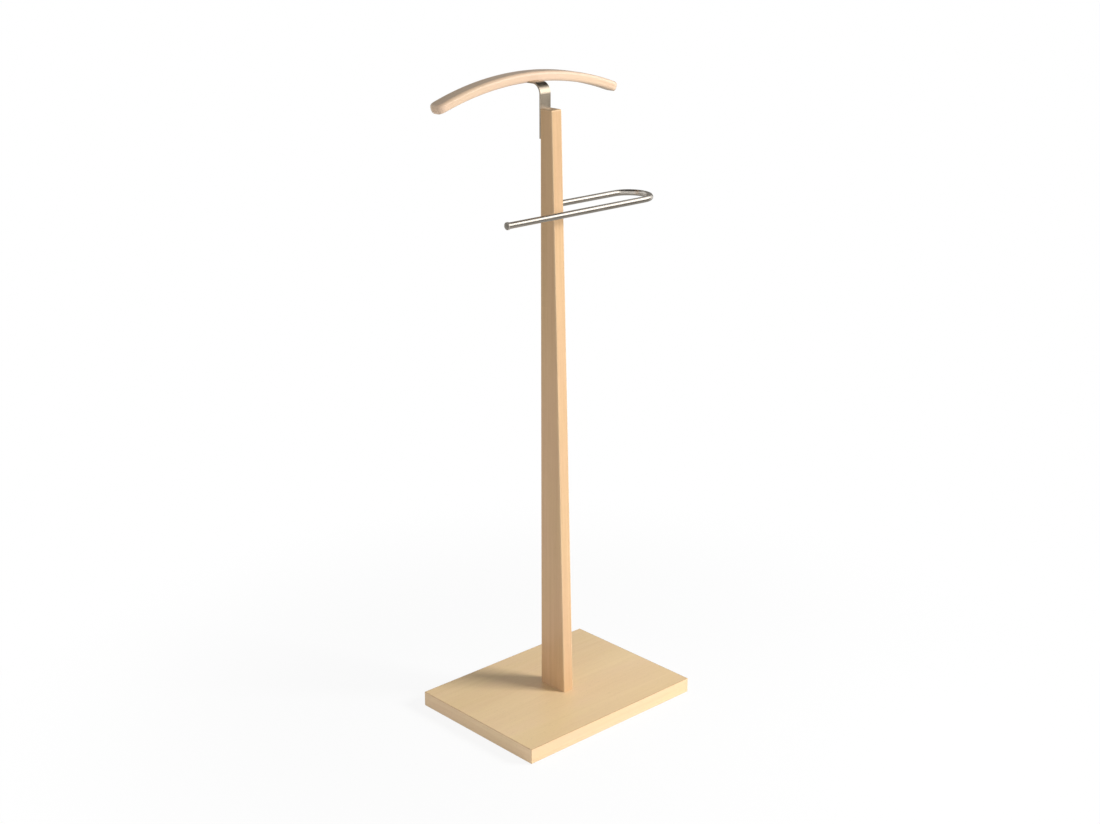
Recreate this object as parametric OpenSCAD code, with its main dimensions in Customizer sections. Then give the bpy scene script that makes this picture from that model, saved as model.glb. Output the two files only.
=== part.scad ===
// Clothes valet stand: a rectangular wooden base, a tapered post, an arched jacket
// hanger on a bent steel strip, and a U-shaped trouser bar.
// The origin is on the floor under the middle of the base. +X runs to the right
// along the long side, -Y is the front, where the trouser bar is, and +Z is up.

/* [Base] */
// Long side of the base, left to right
base_w = 405; // [340:1:520]
// Short side of the base, front to back
base_d = 300; // [240:1:400]
// Thickness of the veneered board
base_t = 28; // [25:0.5:40]
// Thickness of the face veneers
veneer_t = 0.6; // [0.4:0.1:1.5]
// Thickness of the edge bands
band_t = 1; // [0.5:0.1:3]

/* [Glides] */
// Diameter of the plastic glides under the base
glide_d = 20; // [14:1:30]
// Thickness of a glide
glide_t = 5; // [4:0.5:8]
// Height of a glide that stands proud of the board
glide_proud = 2; // [1:0.5:3]
// Distance from the edge of the board to the middle of a glide
glide_inset = 26; // [20:1:50]
// Shank diameter of the nail in each glide
nail_d = 2; // [1.6:0.1:2.5]
// Length of the glide nails
nail_l = 16; // [10:1:20]
// Head diameter of the glide nails
nail_head_d = 5; // [4:0.5:7]
// Head thickness of the glide nails
nail_head_t = 1; // [0.6:0.1:1.5]
// Depth of the nail heads below the faces of the glides
nail_recess = 1; // [0.5:0.1:1.4]

/* [Post] */
// Width of the post, left to right
post_w = 24; // [20:1:36]
// Length of the post, above the base
post_l = 1090; // [900:5:1250]
// Depth of the post at its foot
post_foot_d = 63; // [56:1:90]
// Depth of the post at its top
post_top_d = 28; // [26:1:50]
// Chamfer along the back edges of the post
post_edge = 1; // [0.5:0.1:2]
// Rounding of the post's front edges and of its top
post_round = 2.5; // [1:0.5:6]

/* [Post fixings] */
// Shank diameter of the bolts that hold the post to the base
bolt_d = 6; // [5:1:8]
// Length of the bolts inside the post
bolt_in_post = 14.4; // [10:0.1:14.8]
// Head diameter of the bolts
bolt_head_d = 10; // [9:0.5:13]
// Head height of the bolts
bolt_head_h = 6; // [4:0.5:8]
// Size of the hexagon socket, across flats
bolt_key = 5; // [3:0.5:6]
// Depth of the hexagon socket
bolt_key_depth = 3; // [2:0.5:4]
// Distance between the two bolts
bolt_pitch = 38; // [30:1:44]
// Outer diameter of the washers
washer_d = 18; // [13:1:20]
// Thickness of the washers
washer_t = 1.6; // [1:0.1:2.5]
// Depth of the counterbores under the board
counterbore_depth = 9; // [8.5:0.5:12]
// Gap round the washers in their counterbores
washer_gap = 0.8; // [0.3:0.1:2]
// Outer diameter of the threaded inserts
insert_d = 10; // [9:0.5:11]
// Length of the threaded inserts
insert_l = 15; // [10:1:20]
// Diameter of the locating dowel
dowel_d = 8; // [6:1:10]
// Length of the locating dowel
dowel_l = 30; // [24:1:40]
// Length of the dowel that goes into the base
dowel_in_base = 12; // [8:1:15]

/* [Hanger bracket] */
// Thickness of the steel strip
strip_t = 3; // [2:0.5:4]
// Length of the strip that lies on the back of the post
strip_on_post = 52; // [44:1:90]
// Height of the strip's flat top above the post
strip_rise = 43.5; // [36:0.5:80]
// Inner radius of the bend in the strip
strip_bend_r = 17; // [8:1:24]
// Distance from the top of the post down to the upper screw
strip_screw_drop = 14; // [10:1:18]
// Distance between the two screws in the post
strip_screw_pitch = 24; // [16:1:26]

/* [Hanger] */
// Length of the hanger, end to end
hanger_l = 422; // [380:1:480]
// Depth of the hanger, front to back
hanger_d = 32; // [31:1:44]
// Height of the hanger in the middle
hanger_mid_h = 18; // [17:0.5:24]
// Height of the hanger near its ends
hanger_end_h = 16.5; // [14:0.5:22]
// Radius of the arch, at mid height
hanger_arch_r = 600; // [450:10:1200]
// Rounding of the long edges
hanger_edge_r = 6; // [3:0.5:6.5]
// Rounding of the ends, seen from above
hanger_end_r = 15; // [7:0.5:15]
// Distance from the back of the post to the middle of the hanger
hanger_reach = 46.5; // [42:0.5:60]
// Distance from the end of the strip to the back of the hanger
hanger_back_wood = 6; // [5:0.5:9]
// Distance between the two screws in the hanger
hanger_screw_pitch = 13; // [11:0.5:14]

/* [Trouser bar] */
// Outer diameter of the bar
bar_d = 11; // [9:0.5:12]
// Wall of the tube that the bar is bent from
bar_wall = 1.5; // [1:0.1:2]
// Distance from the top of the post down to the axis of the bar
bar_drop = 167; // [120:1:320]
// Distance from the back of the post to the axis of the back leg
bar_back_dist = 15; // [13:0.5:17]
// Distance between the axes of the two legs
bar_pitch = 75; // [60:1:110]
// Distance from the middle of the post to the centre of the bend
bar_right = 154; // [100:1:220]
// Distance from the middle of the post to the free end of the front leg
bar_left = 167; // [100:1:220]
// Depth of the hole that the back leg is pushed into
bar_socket_depth = 20; // [14:0.5:21]
// Gap between the end of the back leg and the bottom of that hole
bar_end_gap = 0.3; // [0:0.1:1]
// Diameter of the end stop
stop_d = 13.5; // [12:0.5:20]
// Thickness of the end stop
stop_t = 3.5; // [2:0.5:6]
// Rounding of the end stop's edges
stop_edge = 0.8; // [0.3:0.1:0.9]
// Length of the end stop's spigot
stop_spigot_l = 12; // [6:1:20]

/* [Wood screws] */
// Shank diameter of the countersunk screws
screw_d = 4; // [3:0.5:4.5]
// Head diameter of the countersunk screws
screw_head_d = 7.5; // [6.5:0.5:8.5]
// Length of the screws in the back of the post
post_screw_l = 20; // [14:1:22]
// Length of the screws in the hanger
hanger_screw_l = 14; // [10:1:14]
// Length of the lock screw beyond the trouser bar
lock_screw_past = 2; // [0:0.5:4]
// Length of each slot of the cross recess in the screw heads
recess_l = 4; // [3:0.5:5]
// Width of each slot of the cross recess
recess_w = 0.8; // [0.5:0.1:1.2]
// Depth of the cross recess
recess_depth = 1; // [0.6:0.1:1.2]

/* [Fits] */
// Gap round a piece that is glued, screwed or pressed in
fit_gap = 0.05; // [0.02:0.01:0.1]
// Gap round a bolt or screw in a clearance hole
hole_gap = 0.3; // [0.1:0.05:0.5]

/* [Hidden] */
$fn = 64;

// Cutters run this far past the faces that they cut
past = 1;

// Heights
base_z = glide_proud;
base_top = base_z + base_t;
post_top = base_top + post_l;
strip_top = post_top + strip_rise;
strip_under = strip_top - strip_t;
bar_axis_z = post_top - bar_drop;
counterbore_top = base_z + counterbore_depth;
bolt_seat = counterbore_top - washer_t;
bolt_l = base_top - bolt_seat + bolt_in_post;

// The board inside its edge bands
core_w = base_w - 2 * band_t;
core_d = base_d - 2 * band_t;
core_t = base_t - 2 * veneer_t;

// The post stands in the middle of the base, and its back is upright
post_back = post_foot_d / 2;
post_front_foot = -post_foot_d / 2;
post_front_top = post_back - post_top_d;
post_slope = atan((post_front_top - post_front_foot) / post_l);

// Middle of the rounding between the front of the post and its top
post_round_y = post_front_top + post_round * (1 - sin(post_slope)) / cos(post_slope);
post_round_z = post_top - post_round;
post_round_steps = 8;

// Bracket and hanger places, front to back
bend_out_r = strip_bend_r + strip_t;
bend_y = post_back + bend_out_r;
bend_z = strip_top - bend_out_r;
hanger_y = post_back + hanger_reach;
strip_end_y = hanger_y + hanger_d / 2 - hanger_back_wood;
strip_w = post_w;

// Screws along the bracket's two legs
post_screw_z = [post_top - strip_screw_drop, post_top - strip_screw_drop - strip_screw_pitch];
hanger_front = hanger_y - hanger_d / 2;
hanger_screw_mid = (hanger_front + strip_end_y) / 2;
hanger_screw_y = [hanger_screw_mid - hanger_screw_pitch / 2, hanger_screw_mid + hanger_screw_pitch / 2];
screw_head_h = (screw_head_d - screw_d) / 2;
screw_tip_l = screw_d;

// Screws and nails end in a small flat, not in a needle point
point_d = 0.5;

// Trouser bar
bar_y = post_back - bar_back_dist;
bar_front_y = bar_y - bar_pitch;
bar_bore_d = bar_d - 2 * bar_wall;
bar_socket_x = post_w / 2 - bar_socket_depth;
bar_end_x = bar_socket_x + bar_end_gap;
lock_x = (bar_end_x + post_w / 2) / 2;
lock_screw_l = bar_back_dist + bar_d / 2 + lock_screw_past;
stop_face_d = stop_d - 2 * stop_edge;

// Colours
veneer_color = [0.89, 0.78, 0.61];
maple_color = [0.91, 0.78, 0.60];
hanger_color = [0.90, 0.78, 0.64];
board_color = [0.66, 0.54, 0.40];
dowel_color = [0.82, 0.67, 0.46];
steel_color = [0.72, 0.70, 0.65];
zinc_color = [0.78, 0.79, 0.80];
brass_color = [0.80, 0.66, 0.36];
glide_color = [0.86, 0.84, 0.80];

// ---------- Shared shapes ----------

// A block between two values of each of X, Y and Z
module slab(x0, x1, y0, y1, z0, z1) {
    translate([x0, y0, z0]) cube([x1 - x0, y1 - y0, z1 - z0]);
}

// The places of the four glides
module at_glides() {
    for (x = [-1, 1], y = [-1, 1])
        translate([x * (base_w / 2 - glide_inset), y * (base_d / 2 - glide_inset), 0]) children();
}

// The places of the two bolts in the post's foot
module at_bolts() {
    for (y = [-1, 1]) translate([0, y * bolt_pitch / 2, 0]) children();
}

// Everything that is drilled into the board
module base_holes() {
    at_bolts() translate([0, 0, base_z - past])
        cylinder(d = washer_d + 2 * washer_gap, h = counterbore_depth + past);
    at_bolts() translate([0, 0, base_z]) cylinder(d = bolt_d + 2 * hole_gap, h = base_t + past);
    translate([0, 0, base_top - dowel_in_base - hole_gap])
        cylinder(d = dowel_d + 2 * fit_gap, h = dowel_in_base + hole_gap + past);
    at_glides() translate([0, 0, base_z - past])
        cylinder(d = glide_d + 2 * fit_gap, h = glide_t - glide_proud + past);
    at_glides() cylinder(d = nail_d + 2 * fit_gap, h = nail_recess + nail_l + hole_gap);
}

// A countersunk screw that points up, with the top of its head at z = 0
module screw(l) {
    difference() {
        union() {
            cylinder(d1 = screw_head_d, d2 = screw_d, h = screw_head_h);
            cylinder(d = screw_d, h = l - screw_tip_l);
            translate([0, 0, l - screw_tip_l]) cylinder(d1 = screw_d, d2 = point_d, h = screw_tip_l);
        }
        for (a = [0, 90]) rotate([0, 0, a])
            translate([-recess_l / 2, -recess_w / 2, -past]) cube([recess_l, recess_w, past + recess_depth]);
    }
}

// The hole for that screw: a clearance hole and countersink through the first
// piece, of thickness t, then a tight hole in the wood behind it
module screw_hole(l, t) {
    translate([0, 0, -past]) cylinder(d = screw_d + 2 * hole_gap, h = t + past);
    cylinder(d1 = screw_head_d + 2 * fit_gap, d2 = screw_d + 2 * fit_gap, h = screw_head_h);
    translate([0, 0, -past]) cylinder(d = screw_head_d + 2 * fit_gap, h = past);
    cylinder(d = screw_d + 2 * fit_gap, h = l + fit_gap);
}

// ---------- Base ----------

module base_core() {
    color(board_color) difference() {
        slab(-core_w / 2, core_w / 2, -core_d / 2, core_d / 2, base_z + veneer_t, base_z + veneer_t + core_t);
        base_holes();
    }
}

module face_veneer(z) {
    color(veneer_color) difference() {
        slab(-core_w / 2, core_w / 2, -core_d / 2, core_d / 2, z, z + veneer_t);
        base_holes();
    }
}

module top_veneer() {
    face_veneer(base_top - veneer_t);
}

module bottom_veneer() {
    face_veneer(base_z);
}

// A long band in front (side -1) or behind (side 1)
module long_band(side) {
    color(veneer_color) translate([0, side * (base_d - band_t) / 2, base_z + base_t / 2])
        cube([base_w, band_t, base_t], center = true);
}

// A short band on the left (side -1) or the right (side 1)
module short_band(side) {
    color(veneer_color) translate([side * (base_w - band_t) / 2, 0, base_z + base_t / 2])
        cube([band_t, core_d, base_t], center = true);
}

module edge_band_front() {
    long_band(-1);
}

module edge_band_back() {
    long_band(1);
}

module edge_band_left() {
    short_band(-1);
}

module edge_band_right() {
    short_band(1);
}

module glides() {
    color(glide_color) at_glides() difference() {
        cylinder(d = glide_d, h = glide_t);
        translate([0, 0, -past])
            cylinder(d = nail_head_d + 2 * fit_gap, h = past + nail_recess + nail_head_t);
        cylinder(d = nail_d + 2 * fit_gap, h = glide_t + past);
    }
}

module glide_nails() {
    color(zinc_color) at_glides() translate([0, 0, nail_recess]) {
        cylinder(d = nail_head_d, h = nail_head_t);
        cylinder(d = nail_d, h = nail_l - nail_d);
        translate([0, 0, nail_l - nail_d]) cylinder(d1 = nail_d, d2 = point_d, h = nail_d);
    }
}

// ---------- Post and its fixings ----------

// Side view of the post, front to back and foot to top
module post_profile() {
    turn = 90 - post_slope;
    back = [
        [post_front_foot, base_top],
        [post_back, base_top],
        [post_back, post_top - post_edge],
        [post_back - post_edge, post_top]
    ];
    round = [for (i = [0:post_round_steps]) let (a = 90 + turn * i / post_round_steps)
        [post_round_y + post_round * cos(a), post_round_z + post_round * sin(a)]];
    polygon(concat(back, round));
}

// Cuts the chamfer along an edge that runs up from the origin for a length l,
// where the wood lies towards -X and -Y
module edge_cutter(l) {
    reach = post_edge + past;
    translate([0, 0, -past]) linear_extrude(l + 2 * past)
        polygon([[-reach, past], [past, -reach], [past, past]]);
}

// Cuts the rounding along an edge that runs and lies the same way
module round_cutter(l) {
    translate([-post_round, -post_round, -past]) linear_extrude(l + 2 * past) difference() {
        square(post_round + past);
        circle(post_round);
    }
}

// The chamfer and the roundings on the right side of the post
module right_edges() {
    translate([post_w / 2, post_back, base_top]) edge_cutter(post_l);
    translate([post_w / 2, post_front_foot, base_top]) rotate([-post_slope, 0, 0]) mirror([0, 1, 0])
        round_cutter(post_l / cos(post_slope));
    translate([post_w / 2, post_back, post_top]) rotate([90, 0, 0]) round_cutter(post_top_d);
}

module post() {
    color(maple_color) difference() {
        rotate([90, 0, 90]) translate([0, 0, -post_w / 2]) linear_extrude(post_w) post_profile();
        right_edges();
        mirror([1, 0, 0]) right_edges();
        at_bolts() translate([0, 0, base_top - past])
            cylinder(d = insert_d + 2 * fit_gap, h = past + insert_l + fit_gap);
        at_bolts() translate([0, 0, base_top - past])
            cylinder(d = bolt_d + 2 * hole_gap, h = past + bolt_in_post + hole_gap);
        translate([0, 0, base_top - past])
            cylinder(d = dowel_d + 2 * fit_gap, h = past + dowel_l - dowel_in_base + hole_gap);
        for (z = post_screw_z) translate([0, post_back + strip_t, z]) rotate([90, 0, 0])
            screw_hole(post_screw_l, strip_t);
        translate([bar_socket_x, bar_y, bar_axis_z]) rotate([0, 90, 0])
            cylinder(d = bar_d + 2 * fit_gap, h = bar_socket_depth + past);
        translate([lock_x, post_back, bar_axis_z]) rotate([90, 0, 0]) screw_hole(lock_screw_l, 0);
    }
}

module post_inserts() {
    color(brass_color) at_bolts() translate([0, 0, base_top]) difference() {
        cylinder(d = insert_d, h = insert_l);
        translate([0, 0, -past]) cylinder(d = bolt_d + 2 * fit_gap, h = insert_l + 2 * past);
    }
}

module post_bolts() {
    color(zinc_color) at_bolts() translate([0, 0, bolt_seat]) difference() {
        union() {
            cylinder(d = bolt_d, h = bolt_l);
            translate([0, 0, -bolt_head_h]) cylinder(d = bolt_head_d, h = bolt_head_h);
        }
        translate([0, 0, -bolt_head_h - past])
            cylinder(d = bolt_key / cos(30), h = past + bolt_key_depth, $fn = 6);
    }
}

module bolt_washers() {
    color(zinc_color) at_bolts() translate([0, 0, bolt_seat]) difference() {
        cylinder(d = washer_d, h = washer_t);
        translate([0, 0, -past]) cylinder(d = bolt_d + hole_gap, h = washer_t + 2 * past);
    }
}

module post_dowel() {
    color(dowel_color) translate([0, 0, base_top - dowel_in_base]) cylinder(d = dowel_d, h = dowel_l);
}

// ---------- Hanger bracket ----------

// Side view of the bent strip: up the post's back, round the bend, and back
module strip_profile() {
    translate([post_back, post_top - strip_on_post]) square([strip_t, bend_z - post_top + strip_on_post]);
    translate([bend_y, strip_under]) square([strip_end_y - bend_y, strip_t]);
    translate([bend_y, bend_z]) intersection() {
        difference() {
            circle(r = bend_out_r);
            circle(r = strip_bend_r);
        }
        translate([-bend_out_r, 0]) square(bend_out_r);
    }
}

module hanger_bracket() {
    color(steel_color) difference() {
        rotate([90, 0, 90]) translate([0, 0, -strip_w / 2]) linear_extrude(strip_w) strip_profile();
        for (z = post_screw_z) translate([0, post_back + strip_t, z]) rotate([90, 0, 0])
            screw_hole(post_screw_l, strip_t + past);
        for (y = hanger_screw_y) translate([0, y, strip_under]) screw_hole(hanger_screw_l, strip_t + past);
    }
}

module bracket_screws() {
    color(zinc_color) for (z = post_screw_z) translate([0, post_back + strip_t, z])
        rotate([90, 0, 0]) screw(post_screw_l);
}

// ---------- Hanger ----------

// The arch's half angle, to the tip of each rounded end
tip_r = hanger_arch_r + hanger_end_h / 2 - hanger_edge_r;
half_angle = asin(hanger_l / 2 / tip_r);
half_arc = half_angle * PI / 180 * hanger_arch_r;
arch_z = strip_under + hanger_mid_h / 2 - hanger_arch_r;

// Rings lie closer together round the ends than along the middle, and no face
// of a ring is drawn in below least_flat
mid_rings = 20;
end_rings = 6;
corner_points = 7;
least_flat = 0.2;
end_from = 1 - hanger_end_r / half_arc;
function end_share(i) = 1 - hanger_end_r * (1 - sin(90 * i / end_rings)) / half_arc;
ring_shares = concat(
    [for (i = [end_rings:-1:1]) -end_share(i)],
    [for (i = [0:mid_rings]) end_from * (2 * i / mid_rings - 1)],
    [for (i = [1:end_rings]) end_share(i)]
);

// How far a rounding of radius r draws a face in, at a distance d from the end
function drawn_in(r, d) = d >= r ? 0 : r - sqrt(r * r - (r - d) * (r - d));

// The side of a ring's middle on which its corner k lies, in depth and in height
function side_y(k) = (k == 0 || k == 3) ? 1 : -1;
function side_z(k) = k < 2 ? 1 : -1;

// One ring: a rounded rectangle across the arch, at a share s of the half length
function ring(s) =
    let (
        from_end = (1 - abs(s)) * half_arc,
        h = hanger_mid_h + (hanger_end_h - hanger_mid_h) * s * s,
        half_d = hanger_d / 2 - drawn_in(hanger_end_r, from_end),
        half_h = h / 2 - drawn_in(hanger_edge_r, from_end),
        r = min(hanger_edge_r, half_d - least_flat, half_h - least_flat),
        a = s * half_angle
    )
    [for (k = [0:3], j = [0:corner_points - 1])
        let (
            t = 90 * k + 90 * j / (corner_points - 1),
            y = side_y(k) * (half_d - r) + r * cos(t),
            z = side_z(k) * (half_h - r) + r * sin(t)
        )
        [(hanger_arch_r + z) * sin(a), hanger_y + y, arch_z + (hanger_arch_r + z) * cos(a)]
    ];

module hanger_blank() {
    n = 4 * corner_points;
    last = len(ring_shares) - 1;
    points = [for (s = ring_shares) each ring(s)];
    sides = [for (i = [0:last - 1], j = [0:n - 1])
        let (a = i * n + j, b = i * n + (j + 1) % n)
        each [[a, b + n, b], [a, a + n, b + n]]
    ];
    ends = [
        [for (j = [0:n - 1]) j],
        [for (j = [n - 1:-1:0]) last * n + j]
    ];
    polyhedron(points, concat(sides, ends));
}

module hanger() {
    color(hanger_color) difference() {
        hanger_blank();
        slab(
            -strip_w / 2 - hole_gap, strip_w / 2 + hole_gap,
            hanger_front - past, strip_end_y + hole_gap,
            strip_under - hanger_mid_h, strip_top
        );
        for (y = hanger_screw_y) translate([0, y, strip_under])
            cylinder(d = screw_d + 2 * fit_gap, h = hanger_screw_l + fit_gap);
    }
}

module hanger_screws() {
    color(zinc_color) for (y = hanger_screw_y) translate([0, y, strip_under]) screw(hanger_screw_l);
}

// ---------- Trouser bar ----------

// The line of the bar as a round solid of diameter d, from x_back on the back
// leg, round the bend, to x_front on the front leg
module bar_line(d, x_back, x_front) {
    translate([x_back, bar_y, bar_axis_z]) rotate([0, 90, 0]) cylinder(d = d, h = bar_right - x_back);
    translate([x_front, bar_front_y, bar_axis_z]) rotate([0, 90, 0]) cylinder(d = d, h = bar_right - x_front);
    translate([bar_right, (bar_y + bar_front_y) / 2, bar_axis_z]) rotate([0, 0, -90])
        rotate_extrude(angle = 180) translate([bar_pitch / 2, 0]) circle(d = d);
}

module trouser_bar() {
    color(steel_color) difference() {
        bar_line(bar_d, bar_end_x, -bar_left);
        bar_line(bar_bore_d, bar_end_x - past, -bar_left - past);
        translate([lock_x, post_back, bar_axis_z]) rotate([90, 0, 0])
            cylinder(d = screw_d + 2 * fit_gap, h = bar_back_dist + bar_d);
    }
}

module bar_end_stop() {
    color(steel_color) translate([-bar_left, bar_front_y, bar_axis_z]) rotate([0, -90, 0]) {
        cylinder(d1 = stop_face_d, d2 = stop_d, h = stop_edge);
        translate([0, 0, stop_edge]) cylinder(d = stop_d, h = stop_t - 2 * stop_edge);
        translate([0, 0, stop_t - stop_edge]) cylinder(d1 = stop_d, d2 = stop_face_d, h = stop_edge);
        translate([0, 0, -stop_spigot_l]) cylinder(d = bar_bore_d - 2 * fit_gap, h = stop_spigot_l);
    }
}

module bar_lock_screw() {
    color(zinc_color) translate([lock_x, post_back, bar_axis_z]) rotate([90, 0, 0]) screw(lock_screw_l);
}

base_core();
top_veneer();
bottom_veneer();
edge_band_front();
edge_band_back();
edge_band_left();
edge_band_right();
glides();
glide_nails();
post();
post_inserts();
post_bolts();
bolt_washers();
post_dowel();
hanger_bracket();
bracket_screws();
hanger();
hanger_screws();
trouser_bar();
bar_end_stop();
bar_lock_screw();
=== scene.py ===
"""The looks of a clothes valet stand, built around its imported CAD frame.

All lengths are in metres, in the frame's own axes: +X right, -Y front and +Z up. The floor is at
Z = 0.
"""

import math

import bmesh
import bpy
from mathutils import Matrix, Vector


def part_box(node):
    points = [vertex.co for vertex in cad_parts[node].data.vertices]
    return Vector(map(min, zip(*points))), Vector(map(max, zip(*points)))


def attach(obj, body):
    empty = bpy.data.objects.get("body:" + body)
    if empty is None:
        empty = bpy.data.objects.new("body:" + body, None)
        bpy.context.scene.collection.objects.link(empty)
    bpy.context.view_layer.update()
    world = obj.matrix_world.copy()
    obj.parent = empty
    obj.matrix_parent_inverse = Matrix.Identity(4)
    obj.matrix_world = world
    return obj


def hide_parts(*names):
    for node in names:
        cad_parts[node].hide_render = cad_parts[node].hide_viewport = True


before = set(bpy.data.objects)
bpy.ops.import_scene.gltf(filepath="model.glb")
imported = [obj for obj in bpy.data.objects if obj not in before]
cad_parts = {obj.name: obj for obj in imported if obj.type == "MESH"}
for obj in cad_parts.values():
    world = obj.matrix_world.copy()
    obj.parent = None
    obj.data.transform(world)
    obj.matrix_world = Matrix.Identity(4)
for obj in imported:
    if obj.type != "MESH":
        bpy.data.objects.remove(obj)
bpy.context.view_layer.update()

# ---------- Places and sizes ----------

MM = 0.001
FIT = 0.05 * MM  # gap round a piece that is glued, screwed or pressed in
CLEAR = 0.3 * MM  # gap where a piece needs room, as a bolt does in its hole
PAST = 1 * MM  # cutters run this far past the faces that they cut

UP, DOWN = (0, 0, 1), (0, 0, -1)
FRONT, LEFT = (0, -1, 0), (-1, 0, 0)

base_low = Vector(
    (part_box("edge_band_left")[0].x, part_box("edge_band_front")[0].y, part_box("edge_band_front")[0].z)
)
base_high = Vector(
    (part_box("edge_band_right")[1].x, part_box("edge_band_back")[1].y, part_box("edge_band_front")[1].z)
)
core_low, core_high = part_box("base_core")
post_low, post_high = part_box("post")
strip_low, strip_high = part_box("hanger_bracket")
hanger_low, hanger_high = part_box("hanger")
bar_low, bar_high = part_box("trouser_bar")
stop_low, stop_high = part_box("bar_end_stop")
glides_low, glides_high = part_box("glides")
nails_low, nails_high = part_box("glide_nails")
bolts_low, bolts_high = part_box("post_bolts")
washers_low, washers_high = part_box("bolt_washers")
inserts_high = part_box("post_inserts")[1]
dowel_low, dowel_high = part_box("post_dowel")
back_screws_low, back_screws_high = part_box("bracket_screws")
under_screws_low, under_screws_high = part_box("hanger_screws")
lock_low, lock_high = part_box("bar_lock_screw")

VENEER_EASE = 0.15 * MM
BAND_EASE = 0.5 * MM

POST_TOP_DEPTH = 28 * MM
POST_ROUND = 2.5 * MM
POST_BACK_ROUND = 1 * MM

STRIP_T = 3 * MM
STRIP_BEND_R = 17 * MM  # on the inside of the bend
STRIP_EASE = 0.4 * MM

HANGER_L = 421.95 * MM  # a hair under the solid's, whose facets lie inside its curve
HANGER_MID_H = 18 * MM
HANGER_END_H = 16.5 * MM
HANGER_ARCH_R = 600 * MM
HANGER_EDGE_R = 6 * MM
HANGER_END_R = 15 * MM

BAR_R = 5.5 * MM
BAR_WALL = 1.5 * MM
BAR_EASE = 0.3 * MM
STOP_T = 3.5 * MM

SCREW_R = 2 * MM
SCREW_HEAD_R = 3.75 * MM
GLIDE_R = 10 * MM
NAIL_R = 1 * MM
NAIL_HEAD_R = 2.5 * MM
NAIL_HEAD_T = 1 * MM
BOLT_R = 3 * MM
BOLT_HEAD_R = 5 * MM
BOLT_HEAD_H = 6 * MM
BOLT_KEY = 5 * MM
WASHER_R = 9 * MM
WASHER_GAP = 0.8 * MM
INSERT_R = 5 * MM
DOWEL_R = 4 * MM

bolt_places = [bolts_low.y + BOLT_HEAD_R, bolts_high.y - BOLT_HEAD_R]
glide_places = [
    (x, y)
    for x in (glides_low.x + GLIDE_R, glides_high.x - GLIDE_R)
    for y in (glides_low.y + GLIDE_R, glides_high.y - GLIDE_R)
]
back_screw_places = [back_screws_low.z + SCREW_HEAD_R, back_screws_high.z - SCREW_HEAD_R]
under_screw_places = [under_screws_low.y + SCREW_HEAD_R, under_screws_high.y - SCREW_HEAD_R]
lock_place = Vector(((lock_low.x + lock_high.x) / 2, post_high.y, (lock_low.z + lock_high.z) / 2))
bar_z = (bar_low.z + bar_high.z) / 2
bar_back_y = bar_high.y - BAR_R
bar_front_y = bar_low.y + BAR_R
bar_bend_r = (bar_back_y - bar_front_y) / 2
bar_bend_x = bar_high.x - BAR_R - bar_bend_r
bar_socket_x = lock_place.x * 2 - post_high.x


# ---------- Mesh helpers ----------


def face_outwards(bm):
    """Turns all faces outwards, starting from normals that are up to date."""
    bm.normal_update()
    bmesh.ops.recalc_face_normals(bm, faces=bm.faces)
    bm.normal_update()


def new_object(name, bm):
    """Turns a bmesh into an object of the scene."""
    face_outwards(bm)
    mesh = bpy.data.meshes.new(name)
    bm.to_mesh(mesh)
    bm.free()
    obj = bpy.data.objects.new(name, mesh)
    bpy.context.scene.collection.objects.link(obj)
    return obj


def apply_modifiers(obj):
    """Replaces an object's mesh by what its modifiers make of it."""
    bpy.context.view_layer.update()
    depsgraph = bpy.context.evaluated_depsgraph_get()
    mesh = bpy.data.meshes.new_from_object(
        obj.evaluated_get(depsgraph), preserve_all_data_layers=True, depsgraph=depsgraph
    )
    plain = obj.data
    obj.modifiers.clear()
    obj.data = mesh
    bpy.data.meshes.remove(plain)
    mesh.name = obj.name


def cut(obj, cutters):
    """Takes the cutters out of obj, and out of the scene."""
    for cutter in cutters:
        modifier = obj.modifiers.new("cut", "BOOLEAN")
        modifier.operation = "DIFFERENCE"
        modifier.solver = "EXACT"
        modifier.object = cutter
    apply_modifiers(obj)
    for cutter in cutters:
        bpy.data.objects.remove(cutter, do_unlink=True)
    return obj


def shade(obj, sharp_degrees=35):
    """Smooth shading that keeps flat faces flat and sharp edges sharp."""
    bm = bmesh.new()
    bm.from_mesh(obj.data)
    limit = math.radians(sharp_degrees)
    for face in bm.faces:
        face.smooth = True
    for edge in bm.edges:
        edge.smooth = len(edge.link_faces) == 2 and edge.calc_face_angle() < limit
    bm.to_mesh(obj.data)
    bm.free()
    modifier = obj.modifiers.new("normals", "WEIGHTED_NORMAL")
    modifier.keep_sharp = True
    apply_modifiers(obj)
    return obj


def round_edges(bm, edges, radius, segments):
    """Rounds these edges, and marks the new faces in the face attribute "edge"."""
    layer = bm.faces.layers.float.get("edge") or bm.faces.layers.float.new("edge")
    made = bmesh.ops.bevel(
        bm,
        geom=edges,
        offset=radius,
        offset_type="OFFSET",
        segments=segments,
        profile=0.5,
        affect="EDGES",
        clamp_overlap=True,
    )
    for face in made["faces"]:
        face[layer] = 1.0


def sharp_edges(bm):
    """The edges where two faces meet at more than 30 degrees."""
    limit = math.radians(30)
    return [e for e in bm.edges if len(e.link_faces) == 2 and e.calc_face_angle() > limit]


def block(low, high):
    """A bmesh of the box from low to high."""
    bm = bmesh.new()
    bmesh.ops.create_cube(bm, size=1)
    middle = (Vector(low) + Vector(high)) / 2
    size = Vector(high) - Vector(low)
    for vert in bm.verts:
        vert.co = middle + vert.co * size
    return bm


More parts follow.
